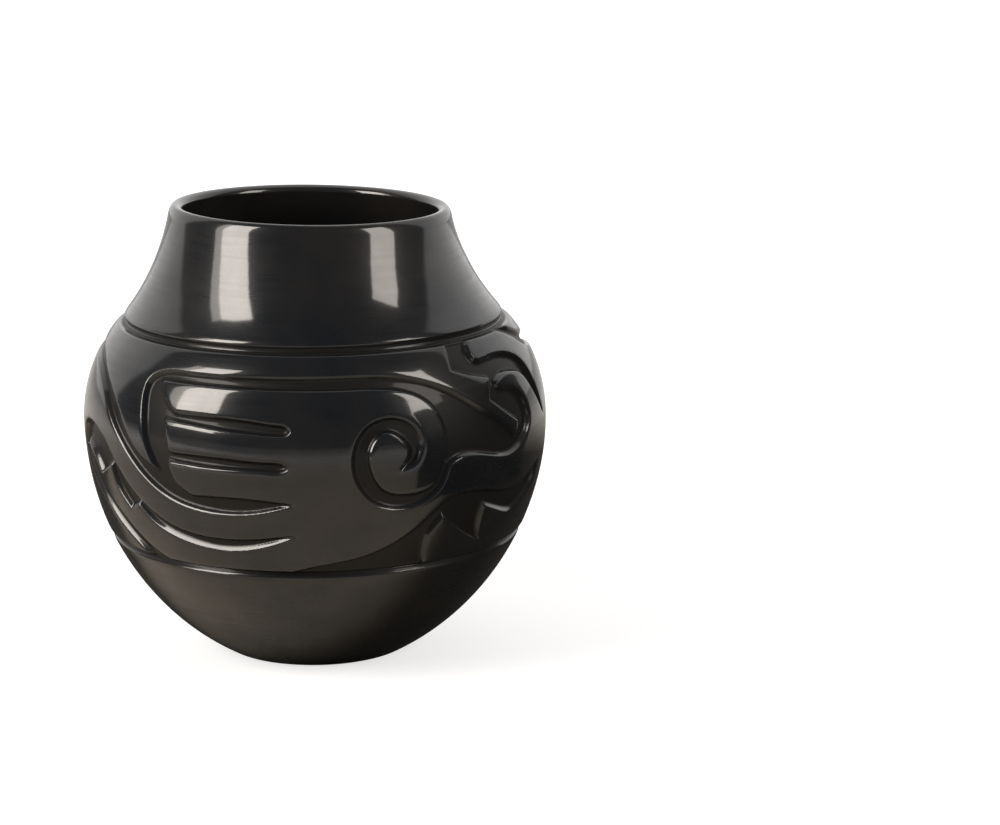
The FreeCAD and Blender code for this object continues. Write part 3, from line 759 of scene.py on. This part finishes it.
class Shader:
    def __init__(self, name):
        self.material = bpy.data.materials.new(name)
        self.material.use_nodes = True
        self.nodes = self.material.node_tree.nodes
        self.links = self.material.node_tree.links
        self.surface = self.nodes["Principled BSDF"]
        self.coordinates = self.nodes.new("ShaderNodeTexCoord")

    def join(self, source, target):
        self.links.new(source, target)

    def noise(self, scale, detail=4, roughness=0.55, stretch=None):
        node = self.nodes.new("ShaderNodeTexNoise")
        node.inputs["Scale"].default_value = scale
        node.inputs["Detail"].default_value = detail
        node.inputs["Roughness"].default_value = roughness
        if stretch:
            mapping = self.nodes.new("ShaderNodeMapping")
            mapping.inputs["Scale"].default_value = stretch
            self.join(self.coordinates.outputs["Object"], mapping.inputs["Vector"])
            self.join(mapping.outputs["Vector"], node.inputs["Vector"])
        else:
            self.join(self.coordinates.outputs["Object"], node.inputs["Vector"])
        return node.outputs["Fac"]

    def rescale(self, value, low, high, toLow=0.0, toHigh=1.0, smooth=False):
        node = self.nodes.new("ShaderNodeMapRange")
        node.interpolation_type = "SMOOTHSTEP" if smooth else "LINEAR"
        node.inputs["From Min"].default_value = low
        node.inputs["From Max"].default_value = high
        node.inputs["To Min"].default_value = toLow
        node.inputs["To Max"].default_value = toHigh
        self.join(value, node.inputs["Value"])
        return node.outputs["Result"]

    def calculate(self, operation, first, second):
        node = self.nodes.new("ShaderNodeMath")
        node.operation = operation
        for socket, value in zip(node.inputs, (first, second)):
            if isinstance(value, (int, float)):
                socket.default_value = value
            else:
                self.join(value, socket)
        return node.outputs["Value"]

    def blend(self, factor, first, second, isColour=True):
        node = self.nodes.new("ShaderNodeMix")
        node.data_type = "RGBA" if isColour else "FLOAT"
        sockets = {s.name: s for s in node.inputs if s.enabled}
        self.join(factor, sockets["Factor"])
        for socket, value in ((sockets["A"], first), (sockets["B"], second)):
            if isinstance(value, (int, float, tuple)):
                socket.default_value = value
            else:
                self.join(value, socket)
        return [s for s in node.outputs if s.enabled][0]

    def bump(self, height, distance, before=None):
        node = self.nodes.new("ShaderNodeBump")
        node.inputs["Strength"].default_value = 1
        node.inputs["Distance"].default_value = distance
        self.join(height, node.inputs["Height"])
        if before:
            self.join(before, node.inputs["Normal"])
        return node.outputs["Normal"]

    def attribute(self, name):
        node = self.nodes.new("ShaderNodeAttribute")
        node.attribute_name = name
        return node.outputs["Fac"]


def makeBurnishedSlip(values):
    # A dark slip under a clear polish, which is duller on the carved ground.
    shader = Shader("burnishedSlip")
    ground = shader.rescale(shader.attribute("edge"), *values["groundEdge"], smooth=True)
    streaks = shader.noise(1, detail=5, roughness=0.6, stretch=values["streakScale"])
    patches = shader.noise(values["patchScale"], detail=3)
    grain = shader.noise(values["grainScale"], detail=3, roughness=0.6)
    cells = shader.nodes.new("ShaderNodeTexVoronoi")
    cells.inputs["Scale"].default_value = values["pitScale"]
    shader.join(shader.coordinates.outputs["Object"], cells.inputs["Vector"])
    pits = shader.rescale(cells.outputs["Distance"], *values["pitSize"], smooth=True)

    tone = shader.blend(shader.rescale(patches, *values["warmPatches"]), values["dark"], values["warm"])
    tone = shader.blend(ground, tone, values["ground"])
    tone = shader.blend(shader.calculate("MULTIPLY", pits, values["speckShare"]), tone, values["speck"])
    shader.join(tone, shader.surface.inputs["Base Color"])

    polished = shader.calculate("ADD", shader.rescale(streaks, *values["polishedRoughness"]),
                                shader.rescale(patches, *values["patchRoughness"]))
    carved = shader.rescale(grain, *values["groundRoughness"])
    roughness = shader.blend(ground, polished, carved, isColour=False)
    shader.join(roughness, shader.surface.inputs["Roughness"])
    glossPatches = shader.rescale(shader.noise(values["glossPatchScale"], detail=3), *values["patchGloss"])
    gloss = shader.calculate("MULTIPLY", shader.rescale(streaks, *values["streakGloss"]), glossPatches)
    gloss = shader.blend(ground, gloss, values["groundGloss"], isColour=False)
    shader.join(gloss, shader.surface.inputs["Coat Weight"])
    shader.surface.inputs["Specular IOR Level"].default_value = values["underSheen"]
    shader.surface.inputs["Coat Roughness"].default_value = values["coatRoughness"]
    shader.surface.inputs["IOR"].default_value = values["indexOfRefraction"]

    fine = shader.bump(shader.noise(values["strokeScale"], detail=2), values["strokeDepth"])
    fine = shader.bump(streaks, values["streakDepth"], fine)
    scraped = shader.noise(values["toolMarkScale"], detail=4, roughness=0.6)
    toolMarks = shader.calculate("MULTIPLY", scraped, ground)
    fine = shader.bump(toolMarks, values["toolMarkDepth"], fine)
    fine = shader.bump(shader.calculate("MULTIPLY", pits, -1.0), values["pitDepth"], fine)
    shader.join(fine, shader.surface.inputs["Normal"])
    shader.join(fine, shader.surface.inputs["Coat Normal"])
    return shader.material


def makeInsideClay(values):
    # Bare clay with the marks of scraping round the wall.
    shader = Shader("insideClay")
    scrapes = shader.noise(1, detail=5, roughness=0.65, stretch=values["scrapeScale"])
    patches = shader.rescale(shader.noise(values["patchScale"], detail=4), *values["palePatches"])
    shader.join(shader.blend(patches, values["dark"], values["pale"]), shader.surface.inputs["Base Color"])
    shader.join(shader.rescale(scrapes, *values["roughness"]), shader.surface.inputs["Roughness"])
    marks = shader.bump(scrapes, values["scrapeDepth"])
    marks = shader.bump(shader.noise(values["grainScale"], detail=3), values["grainDepth"], marks)
    shader.join(marks, shader.surface.inputs["Normal"])
    return shader.material


burnishedSlip = makeBurnishedSlip(slip)
insideSlip = makeInsideClay(insideClay)
print("materials made")

makeLowerBody(lowerShape, jarForm, burnishedSlip, insideSlip)
print("lower body made")
for quarter, quarterName in enumerate(bandShape["names"]):
    makeBandQuarter(quarter, bandShape, burnishedSlip, insideSlip)
    print("band quarter made:", quarterName)
makeUpperBody(upperShape, jarForm, burnishedSlip, insideSlip)
print("upper body made")

# Floor, lamps and world

studio = {
    "floorSize": 9,
    "floorTonesWithPaintedLight": (  # the floor's tone as the jar sees it at each distance, with painted light: lighter near the jar and far off
        (0.15, (0.655, 0.595, 0.505, 1)), (0.38, (0.51, 0.468, 0.41, 1)), (0.75, (0.74, 0.735, 0.73, 1))),
    "floorShade": (0.05, 0.048, 0.045, 1),  # painted shade: the floor's colour as the jar sees it behind both lines
    "shadeLines": ((0.588, 0.808, 0.087), (0.35, 0.94, 0.0895)),  # across, along, offset
    "shadeSoftness": (-0.01, 0.05),  # from where to where past a line it grows
    "shadeReach": (0.4, 0.62),  # the floor's painted shade fades out between these distances
    "floorPale": (0.5, 0.5, 0.5, 1),  # as the camera sees it, over a glow that grows away from the jar
    "floorGlow": (0.66, 1.0),
    "glowReach": (0.2, 0.9),
    "frontTone": (0.112, 0.119, 0.132, 1),
    "backTone": (0.96, 0.945, 0.935, 1),
    "backSides": (  # azimuth where the pale backdrop begins, its lean and its setback low down
        (-107, 0.6, 0.25), (99, 0.3, 0.1)),
    "leanTop": 0.45,  # the lean ends at this height of the sky
    "backSoftness": 0.03,
    "lampColour": (1, 0.935, 0.865),
}

# Upright softboxes: azimuth and distance of their two sides, heights of foot and top, and brightness
softboxes = [
    {"name": "softboxLeft", "sides": ((-73, 1.7), (-49, 1.42)), "heights": (0.38, 1.74), "radiance": 14.2},
    {"name": "softboxLeftEdge", "sides": ((-80, 1.78), (-73, 1.7)), "heights": (0.38, 1.74), "radiance": 5},
    {"name": "softboxRight", "sides": ((48.5, 1.73), (69.5, 1.7)), "heights": (0.34, 1.68), "radiance": 8.4},
]

# A dark card to the right of the jar, seen only in its polish
darkCard = {
    "azimuth": 75,
    "distance": 0.26,
    "width": 0.34,
    "height": 0.205,
    "tone": (0.03, 0.03, 0.03, 1),
    "roughness": 0.9,
}


def makeCard(card):
    clearSelection()
    way, off = math.radians(card["azimuth"]), card["distance"]
    bpy.ops.mesh.primitive_plane_add(
        size=1, location=(math.sin(way) * off, -math.cos(way) * off, card["height"] / 2),
        rotation=(math.pi / 2, 0, way))
    plane = bpy.context.object
    plane.name = "darkCard"
    plane.scale = card["width"], card["height"], 1
    bpy.ops.object.transform_apply(location=True, rotation=True, scale=True)
    paper = Shader("cardPaper")
    paper.surface.inputs["Base Color"].default_value = card["tone"]
    paper.surface.inputs["Roughness"].default_value = card["roughness"]
    plane.data.materials.append(paper.material)
    plane.visible_camera = plane.visible_diffuse = plane.visible_shadow = False


def lineSide(shader, line):
    # How far past a line on the floor a point lies.
    node = shader.nodes.new("ShaderNodeVectorMath")
    node.operation = "DOT_PRODUCT"
    shader.join(shader.coordinates.outputs["Object"], node.inputs[0])
    node.inputs[1].default_value = line[0], line[1], 0
    return shader.calculate("ADD", node.outputs["Value"], line[2])


def makeFloor(values):
    clearSelection()
    bpy.ops.mesh.primitive_plane_add(size=values["floorSize"], location=(0, 0, -0.1 * mm))
    floor = bpy.context.object
    floor.name = "floor"
    bpy.ops.object.transform_apply(location=True, rotation=True, scale=True)
    # The camera sees a pale floor that takes the jar's shadow; the jar sees the floor's tones with painted
    # light and a painted shade.
    shader = Shader("paleFloor")
    nodes = shader.nodes
    nodes.remove(shader.surface)
    path = nodes.new("ShaderNodeLightPath")
    seen, pale, glow = (nodes.new(kind) for kind in (
        "ShaderNodeBsdfDiffuse", "ShaderNodeBsdfDiffuse", "ShaderNodeEmission"))
    # Painted shade: behind both lines the floor, as the jar sees it, darkens to the shade tone.
    shade = [lineSide(shader, line) for line in values["shadeLines"]]
    shade = shader.rescale(shader.calculate("MINIMUM", *shade), *values["shadeSoftness"], smooth=True)
    away = nodes.new("ShaderNodeVectorMath")
    away.operation = "LENGTH"
    shader.join(shader.coordinates.outputs["Object"], away.inputs[0])
    fade = shader.rescale(away.outputs["Value"], *values["shadeReach"], toLow=1, toHigh=0)
    shade = shader.calculate("MULTIPLY", shade, fade)
    # Painted light: the floor's tone, as the jar sees it, is lighter near the jar and far off than between.
    paintedLightTones = nodes.new("ShaderNodeValToRGB")
    for _ in values["floorTonesWithPaintedLight"][2:]:
        paintedLightTones.color_ramp.elements.new(0.5)
    for element, (distance, tone) in zip(paintedLightTones.color_ramp.elements, values["floorTonesWithPaintedLight"]):
        element.position, element.color = distance, tone
    shader.join(away.outputs["Value"], paintedLightTones.inputs["Fac"])
    shader.join(shader.blend(shade, paintedLightTones.outputs["Color"], values["floorShade"]), seen.inputs["Color"])
    pale.inputs["Color"].default_value = values["floorPale"]
    shader.join(shader.rescale(away.outputs["Value"], *values["glowReach"], *values["floorGlow"]),
                glow.inputs["Strength"])
    both, pick = nodes.new("ShaderNodeAddShader"), nodes.new("ShaderNodeMixShader")
    shader.join(pale.outputs[0], both.inputs[0])
    shader.join(glow.outputs[0], both.inputs[1])
    shader.join(path.outputs["Is Camera Ray"], pick.inputs[0])
    shader.join(seen.outputs[0], pick.inputs[1])
    shader.join(both.outputs[0], pick.inputs[2])
    shader.join(pick.outputs[0], nodes["Material Output"].inputs["Surface"])
    floor.data.materials.append(shader.material)


def makeSoftbox(box, colour):
    foot, top = box["heights"]
    ends = [Vector((math.sin(math.radians(way)), -math.cos(math.radians(way)), 0)) * reach
            for way, reach in box["sides"]]
    width, height = (ends[1] - ends[0]).length, top - foot
    middle = (ends[0] + ends[1]) / 2
    facing = Vector((0, 0, 1)).cross(ends[1] - ends[0]).normalized()
    if facing.dot(middle) > 0:
        facing = -facing
    middle.z = (top + foot) / 2
    clearSelection()
    bpy.ops.object.light_add(
        type="AREA", location=middle, rotation=facing.to_track_quat("-Z", "Y").to_euler())
    lamp = bpy.context.object
    lamp.name = box["name"]
    lamp.data.shape = "RECTANGLE"
    lamp.data.size, lamp.data.size_y = width, height
    lamp.data.energy = box["radiance"] * math.pi * width * height
    lamp.data.color = colour


def makeWorld(values):
    # White to the camera; to the jar a dim room in front and a pale backdrop behind, with leaning sides.
    world = bpy.data.worlds.new("studioWorld")
    bpy.context.scene.world = world
    world.use_nodes = True
    nodes, links = world.node_tree.nodes, world.node_tree.links
    sky = nodes["Background"]
    coordinates = nodes.new("ShaderNodeTexCoord")
    least, low, edge, room, seen, path = (nodes.new("ShaderNode" + kind) for kind in (
        "Math", "Math", "MapRange", "MixRGB", "MixRGB", "LightPath"))
    split = nodes.new("ShaderNodeSeparateXYZ")
    links.new(coordinates.outputs["Generated"], split.inputs[0])
    links.new(split.outputs["Z"], low.inputs[0])
    least.operation = low.operation = "MINIMUM"
    low.inputs[1].default_value = values["leanTop"]
    for number, (azimuth, lean, setback) in enumerate(values["backSides"]):
        side, way, turn = nodes.new("ShaderNodeVectorMath"), math.radians(azimuth), math.copysign(1, azimuth)
        side.operation = "DOT_PRODUCT"
        side.inputs[1].default_value = turn * math.cos(way), turn * math.sin(way), 0
        links.new(coordinates.outputs["Generated"], side.inputs[0])
        rise, whole = nodes.new("ShaderNodeMath"), nodes.new("ShaderNodeMath")
        rise.operation, whole.operation = "MULTIPLY_ADD", "ADD"
        links.new(low.outputs["Value"], rise.inputs[0])
        rise.inputs[1].default_value, rise.inputs[2].default_value = lean, -setback
        links.new(side.outputs["Value"], whole.inputs[0])
        links.new(rise.outputs["Value"], whole.inputs[1])
        links.new(whole.outputs["Value"], least.inputs[number])
    links.new(least.outputs["Value"], edge.inputs["Value"])
    edge.inputs["From Min"].default_value = -values["backSoftness"]
    edge.inputs["From Max"].default_value = values["backSoftness"]
    links.new(edge.outputs["Result"], room.inputs["Fac"])
    room.inputs["Color1"].default_value = values["frontTone"]
    room.inputs["Color2"].default_value = values["backTone"]
    links.new(path.outputs["Is Camera Ray"], seen.inputs["Fac"])
    links.new(room.outputs["Color"], seen.inputs["Color1"])
    seen.inputs["Color2"].default_value = (1, 1, 1, 1)
    links.new(seen.outputs["Color"], sky.inputs["Color"])


makeFloor(studio)
makeCard(darkCard)
for softbox in softboxes:
    makeSoftbox(softbox, studio["lampColour"])
makeWorld(studio)
bpy.context.scene.view_settings.view_transform = "Standard"
print("studio lit")

clearSelection()
